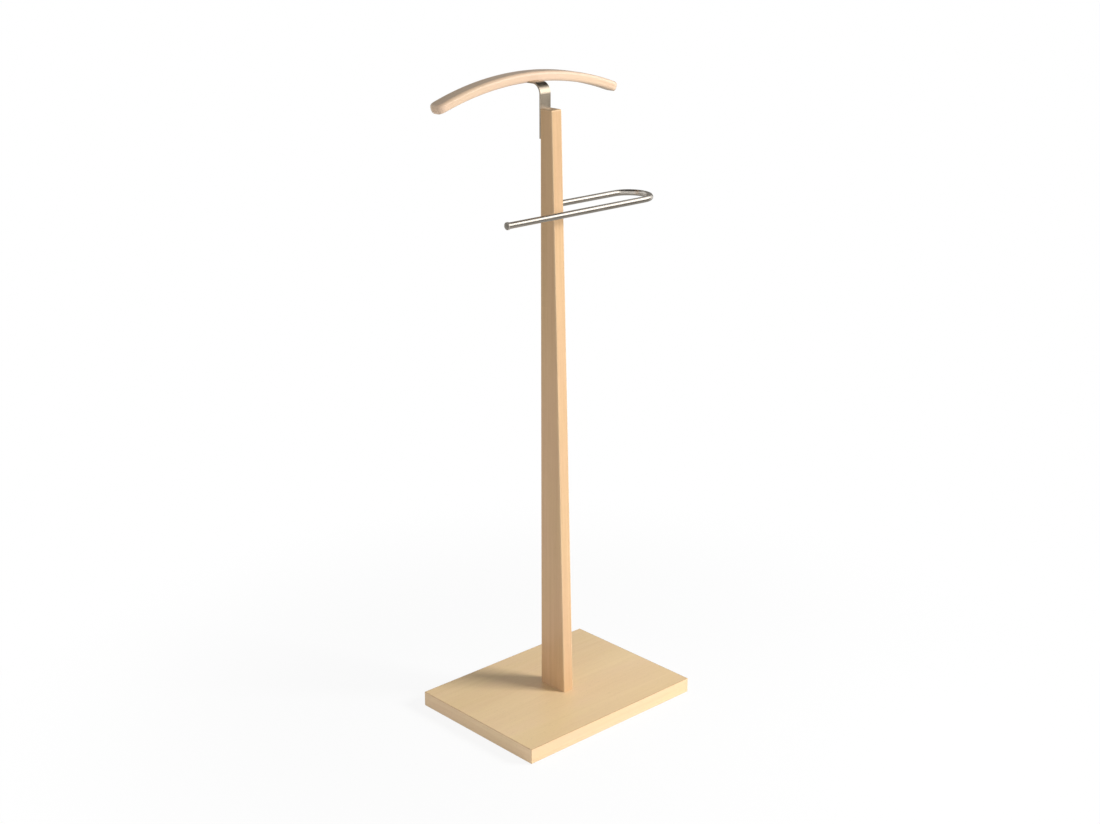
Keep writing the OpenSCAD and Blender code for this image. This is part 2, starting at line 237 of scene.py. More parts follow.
def fillet(points, radii, steps=5):
    """An outline with each corner rounded by its radius. A radius of 0 keeps the corner."""
    outline = []
    for i, (point, radius) in enumerate(zip(points, radii)):
        corner = Vector(point)
        if radius == 0:
            outline.append(corner)
            continue
        before = (Vector(points[i - 1]) - corner).normalized()
        after = (Vector(points[(i + 1) % len(points)]) - corner).normalized()
        half = before.angle(after) / 2
        centre = corner + (before + after).normalized() * radius / math.sin(half)
        start = corner + before * radius / math.tan(half) - centre
        end = corner + after * radius / math.tan(half) - centre
        turn = math.atan2(start.cross(end), start.dot(end))
        first = math.atan2(start.y, start.x)
        for step in range(steps + 1):
            angle = first + turn * step / steps
            outline.append(centre + radius * Vector((math.cos(angle), math.sin(angle))))
    return outline


def skin(bm, rings, closed):
    """Joins rings of vertices into a surface. A ring of one vertex is a pole."""
    pairs = list(zip(rings, rings[1:]))
    if closed:
        pairs.append((rings[-1], rings[0]))
    for one, other in pairs:
        count = max(len(one), len(other))
        for i in range(count):
            j = (i + 1) % count
            corners = [one[i % len(one)], one[j % len(one)]]
            corners += [other[j % len(other)], other[i % len(other)]]
            bm.faces.new(list(dict.fromkeys(corners)))


def lathe(name, outline, origin, axis, closed=False, steps=64):
    """Turns an outline of (radius, height) round an axis that starts at origin."""
    bm = bmesh.new()
    turn = Vector(UP).rotation_difference(Vector(axis))
    rings = []
    for radius, height in outline:
        angles = [2 * math.pi * i / steps for i in range(steps)] if radius > 0 else [0]
        local = [Vector((radius * math.cos(a), radius * math.sin(a), height)) for a in angles]
        rings.append([bm.verts.new(Vector(origin) + turn @ point) for point in local])
    skin(bm, rings, closed)
    return new_object(name, bm)


def drill(origin, axis, radius, depth, steps=48):
    """A cutter for a round hole that starts a little before origin."""
    outline = [(0, -PAST), (radius, -PAST), (radius, depth), (0, depth)]
    return lathe("drill", outline, origin, axis, steps=steps)


def extrude_x(outline, x_low, x_high):
    """A bmesh of an outline of (y, z), extruded from x_low to x_high."""
    bm = bmesh.new()
    left = [bm.verts.new((x_low, p[0], p[1])) for p in outline]
    right = [bm.verts.new((x_high, p[0], p[1])) for p in outline]
    bm.faces.new(left)
    bm.faces.new(right[::-1])
    skin(bm, [left, right], closed=False)
    face_outwards(bm)
    return bm


# ---------- Material helpers ----------

MIX_FACTOR, MIX_A, MIX_B, MIX_RESULT = 0, 6, 7, 2  # the sockets of a Mix node that mixes colours
NOISE_RANGE = (0.3, 0.7)  # nearly all of a noise lies in it
SQUARELY = (0.6, 0.95)  # from a face that begins to look along an axis to one that does

# Of the wood: waves per metre along the grain and across it, and the strengths of what they draw
DRIFT_SCALE = (1.1, 7, 7)
WANDER_SCALE = (2.2, 9, 9)
WANDER_REACH = (0.0, 0.016, 0.016)
WAVE_PERIOD = 0.314  # metres between the rings of a wave texture with a scale of 1
LATE_WOOD = (0.35, 1.0)
STREAK_SCALE = (3.5, 150, 150)
FIBRE_SCALE = (22, 1300, 1300)
FIBRE_SHARE = 0.14
FLECK_SCALE = (150, 1500, 1500)
FLECK_RANGE = (0.66, 0.74)
FLECK_SHARE = 0.30
FLECK_LEVEL = 0.55  # of the brightness of the deep tone, as the next are
BLUSH_SCALE = (6, 21, 21)
BLUSH_OFFSET = (1.7, 0.4, 0.9)
BLUSH_RANGE = (0.36, 0.68)
BLUSH_TINT = (1.0, 0.975, 1.03, 1.0)
PORE_SCALE = (300, 1500, 1500)
END_LEVELS = (0.84, 0.54)  # between the pores of the end grain and in them
END_SHARE = 0.6
EDGE_SHARE = 0.35
BAND_EDGE_SHARE = 0.7
WOOD_RELIEF = 0.12 * MM
FINE_RELIEF = 0.05 * MM  # of brushed metal and moulded plastic
CHIP_RELIEF = 0.3 * MM


class Shader:
    """A node material, built one node at a time."""

    def __init__(self, name):
        self.material = bpy.data.materials.new(name)
        self.material.use_nodes = True
        self.tree = self.material.node_tree
        self.tree.nodes.clear()
        self.surface = self.tree.nodes.new("ShaderNodeBsdfPrincipled")
        output = self.tree.nodes.new("ShaderNodeOutputMaterial")
        self.tree.links.new(self.surface.outputs[0], output.inputs[0])
        place = self.tree.nodes.new("ShaderNodeTexCoord")
        self.place = place.outputs["Object"]

    def put(self, socket, value):
        if isinstance(value, bpy.types.NodeSocket):
            self.tree.links.new(value, socket)
        else:
            socket.default_value = value

    def add(self, kind, inputs, output=0, **settings):
        node = self.tree.nodes.new("ShaderNode" + kind)
        for key, value in settings.items():
            setattr(node, key, value)
        for key, value in inputs.items():
            self.put(node.inputs[key], value)
        return node.outputs[output]

    def set(self, **inputs):
        for key, value in inputs.items():
            self.put(self.surface.inputs[key.replace("_", " ")], value)

    def math(self, operation, a, b=0.0, c=0.0):
        return self.add("Math", {0: a, 1: b, 2: c}, operation=operation)

    def mix(self, factor, a, b, blend="MIX"):
        inputs = {MIX_FACTOR: factor, MIX_A: a, MIX_B: b}
        return self.add("Mix", inputs, MIX_RESULT, data_type="RGBA", blend_type=blend)

    def scaled(self, vector, scale, offset=(0, 0, 0)):
        return self.add("Mapping", {"Vector": vector, "Scale": scale, "Location": offset})

    def noise(self, place, scale, detail, offset=(0, 0, 0), output="Fac"):
        """A noise with so many waves per metre along each axis."""
        vector = self.scaled(place, scale, offset)
        return self.add("TexNoise", {"Vector": vector, "Scale": 1.0, "Detail": detail}, output)

    def spread(self, value, low, high, to_low=0.0, to_high=1.0):
        """Maps low to high onto to_low to to_high, clamped."""
        return self.add("MapRange", {0: value, 1: low, 2: high, 3: to_low, 4: to_high})

    def stretch(self, noise, to_low=0.0, to_high=1.0):
        """Maps the middle of a noise, where nearly all of it lies, onto to_low to to_high."""
        return self.spread(noise, *NOISE_RANGE, to_low, to_high)

    def bump(self, height, strength, distance):
        return self.add("Bump", {"Height": height, "Strength": strength, "Distance": distance})


def linear(*screen):
    """A colour given as red, green and blue of 0 to 255 on screen, as the linear RGBA of nodes."""
    shares = [value / 255 for value in screen]
    levels = [s / 12.92 if s <= 0.04045 else ((s + 0.055) / 1.055) ** 2.4 for s in shares]
    return (*levels, 1.0)


def darker(colour, share):
    return (*(share * part for part in colour[:3]), 1.0)


def facing(shader, axis):
    """How squarely a face looks along an axis, from 0 to 1."""
    normal = shader.add("NewGeometry", {}, "Normal")
    along = {"x": (1, 0, 0), "y": (0, 1, 0), "z": (0, 0, 1)}[axis]
    cosine = shader.add("VectorMath", {0: normal, 1: along}, "Value", operation="DOT_PRODUCT")
    return shader.math("ABSOLUTE", cosine)


def grain_vector(shader, grain, offset):
    """The place in the wood: its X runs along the grain, Y and Z across it."""
    parts = shader.tree.nodes.new("ShaderNodeSeparateXYZ")
    shader.tree.links.new(shader.place, parts.inputs[0])
    x, y, z = parts.outputs
    if grain == "arch":
        centre_z = hanger_high.z - HANGER_MID_H / 2 - HANGER_ARCH_R
        height = shader.math("SUBTRACT", z, centre_z)
        angle = shader.math("ARCTAN2", x, height)
        along = shader.math("MULTIPLY", angle, HANGER_ARCH_R)
        squares = [shader.math("MULTIPLY", part, part) for part in (x, height)]
        radius = shader.math("SQRT", shader.math("ADD", *squares))
        outward = shader.math("SUBTRACT", radius, HANGER_ARCH_R)
        order = (along, y, outward)
    else:
        order = {"x": (x, y, z), "y": (y, x, z), "z": (z, x, y)}[grain]
    vector = shader.add("CombineXYZ", dict(enumerate(order)))
    return shader.add("VectorMath", {0: vector, 1: offset}, operation="ADD")


def wood(
    name, tones, grain, offset, ring_gap, figure=0.14, streak=0.36, drifting=0.34,
    gloss=0.36, coat=0.2, coat_gloss=0.22, edged=(),
):
    """Lacquered maple or beech.

    tones are the pale and deep ends of its colour and the tone of its rounded edges, which is a dark
    seam on the veneers and edge bands and a lighter painted highlight for the post and the hanger.
    grain is the axis that it runs along, or "arch" for the hanger's curve. offset places the piece in
    its log. ring_gap is the mean width of a growth ring. figure, streak and drifting are how much the
    rings, the streaks and the slow clouds show. Faces square to an axis in edged take the tone of the
    edges.
    """
    pale, deep, seam_and_highlight_tone = tones
    shader = Shader(name)
    place = grain_vector(shader, grain, offset)
    drift = shader.noise(place, DRIFT_SCALE, 1.0)
    wander_noise = shader.noise(place, WANDER_SCALE, 2.0, output="Color")
    wander = shader.add("VectorMath", {0: wander_noise, 1: WANDER_REACH}, operation="MULTIPLY")
    log_place = shader.add("VectorMath", {0: place, 1: wander}, operation="ADD")
    ring_inputs = {
        "Vector": log_place,
        "Scale": WAVE_PERIOD / ring_gap,
        "Distortion": 1.6,
        "Detail": 3.0,
        "Detail Scale": 0.6,
    }
    ring_shape = {"wave_type": "RINGS", "rings_direction": "X", "wave_profile": "SAW"}
    late_wood = shader.spread(shader.add("TexWave", ring_inputs, "Fac", **ring_shape), *LATE_WOOD)
    streaks = shader.noise(place, STREAK_SCALE, 4.0)
    fibres = shader.noise(place, FIBRE_SCALE, 2.0)
    flecks = shader.spread(shader.noise(place, FLECK_SCALE, 1.0), *FLECK_RANGE)
    parts = (
        (late_wood, figure),
        (shader.stretch(streaks), streak),
        (shader.stretch(fibres), FIBRE_SHARE),
        (shader.stretch(drift), drifting),
    )
    depth = 0.0
    for part, share in parts:
        depth = shader.math("MULTIPLY_ADD", part, share, depth)
    colour = shader.mix(depth, pale, deep)
    blush = shader.spread(shader.noise(place, BLUSH_SCALE, 2.0, BLUSH_OFFSET), *BLUSH_RANGE)
    colour = shader.mix(blush, colour, BLUSH_TINT, "MULTIPLY")
    fleck_share = shader.math("MULTIPLY", flecks, FLECK_SHARE)
    colour = shader.mix(fleck_share, colour, darker(deep, FLECK_LEVEL))
    if grain != "arch":
        pores = shader.noise(place, PORE_SCALE, 2.0)
        end_tone = shader.mix(pores, *(darker(deep, share) for share in END_LEVELS))
        end_share = shader.spread(facing(shader, grain), *SQUARELY, 0.0, END_SHARE)
        colour = shader.mix(end_share, colour, end_tone)
    # Faces that round_edges marked take the edge tone: a dark seam on the veneers and edge bands, a
    # painted highlight on the post.
    edge = shader.add("Attribute", {}, "Fac", attribute_name="edge")
    colour = shader.mix(shader.math("MULTIPLY", edge, EDGE_SHARE), colour, seam_and_highlight_tone)
    for axis in edged:
        band_share = shader.spread(facing(shader, axis), *SQUARELY, 0.0, BAND_EDGE_SHARE)
        colour = shader.mix(band_share, colour, seam_and_highlight_tone)
    raised, sunk = shader.math("MULTIPLY", fibres, 0.6), shader.math("MULTIPLY", flecks, 0.8)
    relief = shader.math("SUBTRACT", raised, sunk)
    shader.set(
        Base_Color=colour,
        Roughness=shader.spread(fibres, 0.2, 0.8, gloss, gloss + 0.1),
        Normal=shader.bump(relief, 0.12, WOOD_RELIEF),
        Coat_Weight=coat,
        Coat_Roughness=coat_gloss,
        Specular_IOR_Level=0.3,
    )
    return shader.material


def metal(name, tone, shadow, along, roughness, streak):
    """Brushed or plated metal, with fine streaks along one axis and a little uneven shine."""
    shader = Shader(name)
    fine, coarse = 2600, 30
    scale = {
        "x": (coarse, fine, fine),
        "y": (fine, coarse, fine),
        "z": (fine, fine, coarse),
    }[along]
    brushed = shader.noise(shader.place, scale, 3.0)
    cloud = shader.noise(shader.place, (35, 35, 35), 3.0)
    specks = shader.spread(shader.noise(shader.place, (900, 900, 900), 1.0), 0.70, 0.78)
    uneven = shader.math("MULTIPLY_ADD", cloud, 0.5, shader.math("MULTIPLY", brushed, 0.5))
    colour = shader.mix(shader.stretch(uneven), shadow, tone)
    colour = shader.mix(shader.math("MULTIPLY", specks, 0.35), colour, darker(shadow, 0.6))
    shader.set(
        Base_Color=colour,
        Metallic=1.0,
        Roughness=shader.stretch(uneven, roughness, roughness + 0.08),
        Normal=shader.bump(brushed, streak, FINE_RELIEF),
    )
    return shader.material


def plastic(name, tone, shadow):
    """Moulded polyethylene: slightly mottled, with a fine matt texture and scuffs."""
    shader = Shader(name)
    mottle = shader.noise(shader.place, (240, 240, 240), 3.0)
    grain = shader.noise(shader.place, (2600, 2600, 2600), 2.0)
    scuffs = shader.spread(shader.noise(shader.place, (180, 1900, 400), 3.0), 0.6, 0.75)
    mottled = shader.mix(mottle, tone, shadow)
    shader.set(
        Base_Color=shader.mix(shader.math("MULTIPLY", scuffs, 0.4), mottled, shadow),
        Roughness=shader.stretch(grain, 0.46, 0.6),
        Normal=shader.bump(grain, 0.2, FINE_RELIEF),
    )
    return shader.material


def particle_board(name):
    """The raw core of the board: pressed chips in several browns."""
    shader = Shader(name)
    chip_place = shader.scaled(shader.place, (420, 420, 900))
    chips = shader.add("TexVoronoi", {"Vector": chip_place, "Scale": 1.0}, "Color")
    tone = shader.add("SeparateColor", {0: chips})
    dust = shader.noise(shader.place, (1800, 1800, 1800), 3.0)
    colour = shader.mix(tone, linear(196, 160, 116), linear(132, 98, 62))
    shader.set(
        Base_Color=shader.mix(shader.math("MULTIPLY", dust, 0.4), colour, linear(92, 66, 40)),
        Roughness=shader.stretch(dust, 0.8, 0.95),
        Normal=shader.bump(shader.math("ADD", tone, dust), 0.5, CHIP_RELIEF),
    )
    return shader.material


# ---------- Materials ----------

veneer_tones = (linear(240, 213, 167), linear(222, 191, 141), linear(178, 138, 94))
band_tones = (linear(242, 214, 173), linear(224, 191, 145), linear(178, 138, 94))
# The post's and the hanger's third tones, lighter than their wood, are painted highlights for their
# rounded edges.
post_tones = (linear(221, 186, 142), linear(200, 163, 120), linear(233, 204, 163))
hanger_tones = (linear(236, 208, 177), linear(212, 182, 149), linear(240, 218, 192))
dowel_tones = (linear(226, 184, 132), linear(186, 140, 92), linear(222, 188, 138))

# The strip is the same nickel as the bar, but its tones are darker and warmer: a painted reflection of
# the wood and shade around it.
strip_tones_with_painted_reflection = (linear(203, 191, 173), linear(176, 163, 145))
bar_tones = (linear(210, 204, 195), linear(184, 177, 167))

top_veneer_finish = wood(
    "maple_veneer_top", veneer_tones, "x", (0.30, 0.05, 0.045), 16 * MM,
    figure=0.08, streak=0.16, drifting=0.50, gloss=0.34, coat_gloss=0.25,
)
bottom_veneer_finish = wood(
    "maple_veneer_bottom", veneer_tones, "x", (1.90, 0.02, 0.085), 14 * MM,
    gloss=0.40, coat_gloss=0.25,
)
band_looks = {"figure": 0.12, "streak": 0.26, "coat_gloss": 0.25, "edged": "z"}
band_x_finish = wood(
    "edge_band_long", band_tones, "x", (3.10, 0.22, 0.08), 9 * MM, **band_looks
)
band_y_finish = wood(
    "edge_band_short", band_tones, "y", (4.40, 0.26, 0.06), 9 * MM, **band_looks
)
post_finish = wood("post_maple", post_tones, "z", (5.20, 0.06, 0.03), 7 * MM, figure=0.16)
hanger_finish = wood(
    "hanger_maple", hanger_tones, "arch", (6.70, -0.02, 0.05), 6 * MM,
    figure=0.18, coat=0.6, coat_gloss=0.14,
)
dowel_finish = wood(
    "dowel_beech", dowel_tones, "z", (8.10, 0.03, 0.02), 2 * MM,
    figure=0.3, gloss=0.6, coat=0.0,
)
steel_x_finish = metal("satin_nickel_bar", *bar_tones, "x", 0.26, 0.04)
steel_z_finish = metal("satin_nickel_strip", *strip_tones_with_painted_reflection, "z", 0.30, 0.06)
zinc_finish = metal("zinc_plate", linear(214, 216, 218), linear(176, 178, 176), "z", 0.34, 0.05)
brass_finish = metal("brass", linear(214, 180, 104), linear(178, 140, 74), "z", 0.38, 0.05)
glide_finish = plastic("glide_plastic", linear(226, 222, 212), linear(202, 196, 184))
board_finish = particle_board("particle_board")


# ---------- The pieces ----------


def dress(obj, finish, slot, *nodes):
    """Gives a finished piece its material and body, and hides the CAD nodes that it stands for.

    slot is not used.
    """
    obj.data.materials.clear()
    obj.data.materials.append(finish)
    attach(obj, "root")
    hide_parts(*nodes)


def keep(node, finish):
    """A CAD node that keeps its shape and gets a better finish."""
    for material_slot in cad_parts[node].material_slots:
        material_slot.material = finish


def make_veneer(name, node, face_z, finish, holes):
    """A face veneer, its rim eased so that a hairline shows where it meets the edge bands."""
    low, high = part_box(node)
    bm = block(low, high)
    rim = [e for e in bm.edges if all(abs(v.co.z - face_z) < FIT for v in e.verts)]
    round_edges(bm, rim, VENEER_EASE, 2)
    dress(shade(cut(new_object(name, bm), holes)), finish, "maple_veneer", node)


def make_band(name, node, axis, side, finish):
    """An edge band whose outer edges are eased with sandpaper."""
    low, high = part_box(node)
    outer = (low, high)[side][axis]
    bm = block(low, high)
    rim = [e for e in bm.edges if all(abs(v.co[axis] - outer) < FIT for v in e.verts)]
    if axis == 0:  # its ends butt against the long bands
        rim = [e for e in rim if abs(e.verts[0].co.z - e.verts[1].co.z) < FIT]
    round_edges(bm, rim, BAND_EASE, 4)
    dress(shade(new_object(name, bm)), finish, "edge_band", node)


def make_base():
    """The board's skins. Its core keeps the shape of the CAD node."""
    top, bottom = base_high.z, base_low.z
    top_holes = [drill((0, y, top), DOWN, BOLT_R + CLEAR, core_high.z) for y in bolt_places]
    top_holes.append(drill((0, 0, top), DOWN, DOWEL_R + FIT, top - dowel_low.z))
    make_veneer("top_sheet", "top_veneer", top, top_veneer_finish, top_holes)
    depth = core_low.z - bottom + PAST
    under_holes = [drill((0, y, bottom), UP, WASHER_R + WASHER_GAP, depth) for y in bolt_places]
    under_holes += [drill((x, y, bottom), UP, GLIDE_R + FIT, depth) for x, y in glide_places]
    make_veneer("bottom_sheet", "bottom_veneer", bottom, bottom_veneer_finish, under_holes)
    make_band("front_band", "edge_band_front", 1, 0, band_x_finish)
    make_band("back_band", "edge_band_back", 1, 1, band_x_finish)
    make_band("left_band", "edge_band_left", 0, 0, band_y_finish)
    make_band("right_band", "edge_band_right", 0, 1, band_y_finish)
    keep("base_core", board_finish)


def make_post():
    """The post: an upright back and a sloping front, rounded everywhere but at its foot."""
    foot, back = post_low.z, post_high.y
    outline = [
        (post_low.y, foot),
        (back, foot),
        (back, post_high.z),
        (back - POST_TOP_DEPTH, post_high.z),
    ]
    bm = extrude_x(outline, post_low.x, post_high.x)
    for on_back, radius in ((False, POST_ROUND), (True, POST_BACK_ROUND)):
        eased = [e for e in sharp_edges(bm) if max(v.co.z for v in e.verts) > foot + PAST]
        eased = [e for e in eased if all(back - v.co.y < FIT for v in e.verts) == on_back]
        round_edges(bm, eased, radius, 5)
    insert_hole = (INSERT_R + FIT, inserts_high.z - foot + FIT)
    screw_hole = (SCREW_R + FIT, back - back_screws_low.y + FIT)
    bar_hole = (BAR_R + FIT, post_high.x - bar_socket_x)
    holes = [drill((0, y, foot), UP, *insert_hole) for y in bolt_places]
    holes.append(drill((0, 0, foot), UP, DOWEL_R + FIT, dowel_high.z - foot + CLEAR))
    holes += [drill((0, back, z), FRONT, *screw_hole) for z in back_screw_places]
    holes.append(drill((post_high.x, bar_back_y, bar_z), LEFT, *bar_hole))
    holes.append(countersink(lock_place, FRONT, SCREW_R + FIT, back - lock_low.y + FIT))
    dress(shade(cut(new_object("post_maple", bm), holes)), post_finish, "maple", "post")


def countersink(origin, axis, radius, depth):
    """A cutter for a wood screw's hole and the conical seat of its head."""
    wide = SCREW_HEAD_R + FIT
    outline = [(0, -PAST), (wide, -PAST), (wide, 0)]
    outline += [(radius, wide - radius), (radius, depth), (0, depth)]
    return lathe("countersink", outline, origin, axis, steps=48)


def make_bracket():
    """The bent strip, from its foot on the post's back round the bend to its end in the hanger."""
    back, top = strip_low.y, strip_high.z
    outer_r = STRIP_BEND_R + STRIP_T
    outline = fillet(
        [
            (back, strip_low.z),
            (back, top),
            (strip_high.y, top),
            (strip_high.y, top - STRIP_T),
            (back + STRIP_T, top - STRIP_T),
            (back + STRIP_T, strip_low.z),
        ],
        [0, outer_r, 0, 0, STRIP_BEND_R, 0],
        steps=40,
    )
    bm = extrude_x(outline, strip_low.x, strip_high.x)
    round_edges(bm, sharp_edges(bm), STRIP_EASE, 3)
    strip = new_object("bracket_strip", bm)
    face_y, under = strip_low.y + STRIP_T, top - STRIP_T
    hole = (SCREW_R + CLEAR, STRIP_T + PAST)
    holes = [countersink((0, face_y, z), FRONT, *hole) for z in back_screw_places]
    holes += [countersink((0, y, under), UP, *hole) for y in under_screw_places]
    dress(shade(cut(strip, holes), 40), steel_z_finish, "satin_steel", "hanger_bracket")


def drawn_in(radius, distance):
    """How far a rounding draws a face in, at a distance from the end."""
    if distance >= radius:
        return 0.0
    return radius - math.sqrt(radius**2 - (radius - distance) ** 2)


def make_hanger():
    """The arched hanger: rounded rectangles across the arch, closer together round the ends."""
    middle_y = (hanger_low.y + hanger_high.y) / 2
    half_depth = (hanger_high.y - hanger_low.y) / 2
    centre_z = hanger_high.z - HANGER_MID_H / 2 - HANGER_ARCH_R
    tip_r = HANGER_ARCH_R + HANGER_END_H / 2 - HANGER_EDGE_R
    half_angle = math.asin(HANGER_L / 2 / tip_r)
    half_arc = half_angle * HANGER_ARCH_R
    mid_rings, end_rings, corner_points = 120, 14, 12
    least_flat = 0.2 * MM  # left between two roundings, so that no two points of a ring meet
    end_from = 1 - HANGER_END_R / half_arc
    end_shares = []
    for i in range(1, end_rings + 1):
        curve = math.sin(math.pi / 2 * i / end_rings)
        end_shares.append(1 - HANGER_END_R * (1 - curve) / half_arc)
    shares = [-s for s in reversed(end_shares)]
    shares += [end_from * (2 * i / mid_rings - 1) for i in range(mid_rings + 1)]
    shares += end_shares
    bm = bmesh.new()
    rings = []
    for share in shares:
        from_end = (1 - abs(share)) * half_arc
        height = HANGER_MID_H + (HANGER_END_H - HANGER_MID_H) * share**2
        half_d = half_depth - drawn_in(HANGER_END_R, from_end)
        half_h = height / 2 - drawn_in(HANGER_EDGE_R, from_end)
        radius = min(HANGER_EDGE_R, half_d - least_flat, half_h - least_flat)
        angle = share * half_angle
        ring = []
        for quarter, (side_y, side_z) in enumerate(((1, 1), (-1, 1), (-1, -1), (1, -1))):
            for point in range(corner_points):
                turn = math.pi / 2 * (quarter + point / (corner_points - 1))
                y = side_y * (half_d - radius) + radius * math.cos(turn)
                out = HANGER_ARCH_R + side_z * (half_h - radius) + radius * math.sin(turn)
                x, z = out * math.sin(angle), centre_z + out * math.cos(angle)
                ring.append(bm.verts.new((x, middle_y + y, z)))
        rings.append(ring)
    skin(bm, rings, closed=False)
    bm.faces.new(rings[0])
    bm.faces.new(rings[-1][::-1])
    hanger = new_object("hanger_arch", bm)
    under = strip_high.z - STRIP_T
    groove = new_object(
        "groove",
        block(
            (strip_low.x - CLEAR, hanger_low.y - PAST, hanger_low.z - PAST),
            (strip_high.x + CLEAR, strip_high.y + CLEAR, strip_high.z),
        ),
    )
    depth = under_screws_high.z - under + FIT
    holes = [drill((0, y, under), UP, SCREW_R + FIT, depth) for y in under_screw_places]
    dress(shade(cut(hanger, [groove, *holes]), 50), hanger_finish, "hanger_wood", "hanger")


def make_bar():
    """The trouser bar: a tube along both legs and round the bend."""
    bend_steps, sides = 72, 56
    middle_y = (bar_back_y + bar_front_y) / 2
    back_end_x = bar_socket_x + CLEAR  # inside its hole in the post
    path = [(Vector((x, bar_back_y, bar_z)), 0) for x in (back_end_x, post_high.x, bar_bend_x)]
    for step in range(1, bend_steps):
        turn = math.pi * step / bend_steps
        x, y = bar_bend_r * math.sin(turn), bar_bend_r * math.cos(turn)
        path.append((Vector((bar_bend_x + x, middle_y + y, bar_z)), turn))
    for x in (bar_bend_x, 0.0, bar_low.x):
        path.append((Vector((x, bar_front_y, bar_z)), math.pi))
    bore = BAR_R - BAR_WALL
    ease = Vector((BAR_EASE, 0, 0))
    (first, first_turn), (last, last_turn) = path[0], path[-1]
    outside = [
        (first, first_turn, BAR_R - BAR_EASE),
        (first + ease, first_turn, BAR_R),
        *[(place, turn, BAR_R) for place, turn in path[1:-1]],
        (last + ease, last_turn, BAR_R),
        (last, last_turn, BAR_R - BAR_EASE),
    ]
    inside = [(place, turn, bore) for place, turn in reversed(path)]
    bm = bmesh.new()
    rings = []
    for place, turn, radius in outside + inside:
        across = Vector((math.sin(turn), math.cos(turn), 0))
        ring = []
        for side in range(sides):
            angle = 2 * math.pi * side / sides
            out = math.cos(angle) * across + Vector((0, 0, math.sin(angle)))
            ring.append(bm.verts.new(place + radius * out))
        rings.append(ring)
    skin(bm, rings, closed=True)
    tube = new_object("bar_tube", bm)
    depth = bar_high.y - bar_back_y + 4 * BAR_R
    lock_hole = drill(lock_place, FRONT, SCREW_R + FIT, depth)
    dress(shade(cut(tube, [lock_hole]), 40), steel_x_finish, "satin_steel", "trouser_bar")


def make_stop():
    """The turned stop in the bar's free end, with a shallow dish in its face."""
    radius = (stop_high.y - stop_low.y) / 2
    spigot_r = BAR_R - BAR_WALL - FIT
    spigot_l = stop_high.x - bar_low.x
    rim, dish = 0.8 * MM, 0.25 * MM
    dish_r, dish_floor_r = radius - 1.6 * MM, radius - 2.2 * MM
    outline = [
        (0, -spigot_l),
        (spigot_r, -spigot_l),
        (spigot_r, 0),
        (radius, 0),
        (radius, STOP_T),
        (dish_r, STOP_T),
        (dish_floor_r, STOP_T - dish),
        (0, STOP_T - dish),
    ]
    outline = fillet(outline, [0, 0.5 * MM, 0, rim, rim, 0, 0, 0])
    stop = lathe("bar_stop", outline, (bar_low.x, bar_front_y, bar_z), LEFT)
    dress(shade(stop), steel_x_finish, "satin_steel", "bar_end_stop")


def cross_cutters(origin, axis):
    """Two wedges that cut the cross recess of a screw, narrower at the bottom."""
    reach, width, depth = 2.0 * MM, 0.4 * MM, 1.0 * MM
    taper = 0.7
    turn = Vector(UP).rotation_difference(Vector(axis))
    cutters = []
    for long_x, long_y in ((reach, width), (width, reach)):
        bm = block((-long_x, -long_y, -PAST), (long_x, long_y, depth))
        for vert in bm.verts:
            if vert.co.z > 0:
                vert.co.x *= taper
                vert.co.y *= taper
            vert.co = Vector(origin) + turn @ vert.co
        cutters.append(new_object("cross", bm))
    return cutters


def make_screw(name, node, origin, axis, length):
    """A countersunk wood screw with a cross recess."""
    cone = SCREW_HEAD_R - SCREW_R
    outline = fillet(
        [
            (0, 0),
            (SCREW_HEAD_R, 0),
            (SCREW_R, cone),
            (SCREW_R, length - 2 * SCREW_R),
            (SCREW_R / 8, length),
            (0, length),
        ],
        [0, 0.12 * MM, 0, 0, 0, 0],
    )
    screw = cut(lathe(name, outline, origin, axis, steps=48), cross_cutters(origin, axis))
    dress(shade(screw, 30), zinc_finish, "zinc_steel", node)


def make_screws():
    """The screws of the strip and the hanger, and the one that locks the bar."""
    face_y, under = strip_low.y + STRIP_T, strip_high.z - STRIP_T
    length = face_y - back_screws_low.y
    for number, z in enumerate(back_screw_places, 1):
        make_screw(f"bracket_screw_{number}", "bracket_screws", (0, face_y, z), FRONT, length)
    length = under_screws_high.z - under
    for number, y in enumerate(under_screw_places, 1):
        make_screw(f"hanger_screw_{number}", "hanger_screws", (0, y, under), UP, length)
    make_screw("lock_screw", "bar_lock_screw", lock_place, FRONT, lock_place.y - lock_low.y)


def make_glides():
    """Four nailed plastic glides, their lower edges rounded so that they slide."""
    thickness = glides_high.z - glides_low.z
    seat = nails_low.z + NAIL_HEAD_T
    outline = [
        (NAIL_R + FIT, seat),
        (NAIL_HEAD_R + FIT, seat),
        (NAIL_HEAD_R + FIT, 0),
        (GLIDE_R, 0),
        (GLIDE_R, thickness),
        (NAIL_R + FIT, thickness),
    ]
    outline = fillet(outline, [0, 0, 0.3 * MM, 1.2 * MM, 0.3 * MM, 0])
    nail_l = nails_high.z - nails_low.z
    nail = [
        (0, 0),
        (NAIL_HEAD_R, 0),
        (NAIL_HEAD_R, NAIL_HEAD_T),
        (NAIL_R, NAIL_HEAD_T),
        (NAIL_R, nail_l - 2 * NAIL_R),
        (NAIL_R / 4, nail_l),
        (0, nail_l),
    ]
    nail = fillet(nail, [0, 0.3 * MM, 0.2 * MM, 0, 0, 0, 0])
    for number, (x, y) in enumerate(glide_places, 1):
        glide = lathe(f"glide_{number}", outline, (x, y, 0), UP, closed=True)
        dress(shade(glide), glide_finish, "glide_plastic", "glides")
        pin = lathe(f"glide_nail_{number}", nail, (x, y, nails_low.z), UP, steps=32)
        dress(shade(pin), zinc_finish, "zinc_steel", "glide_nails")


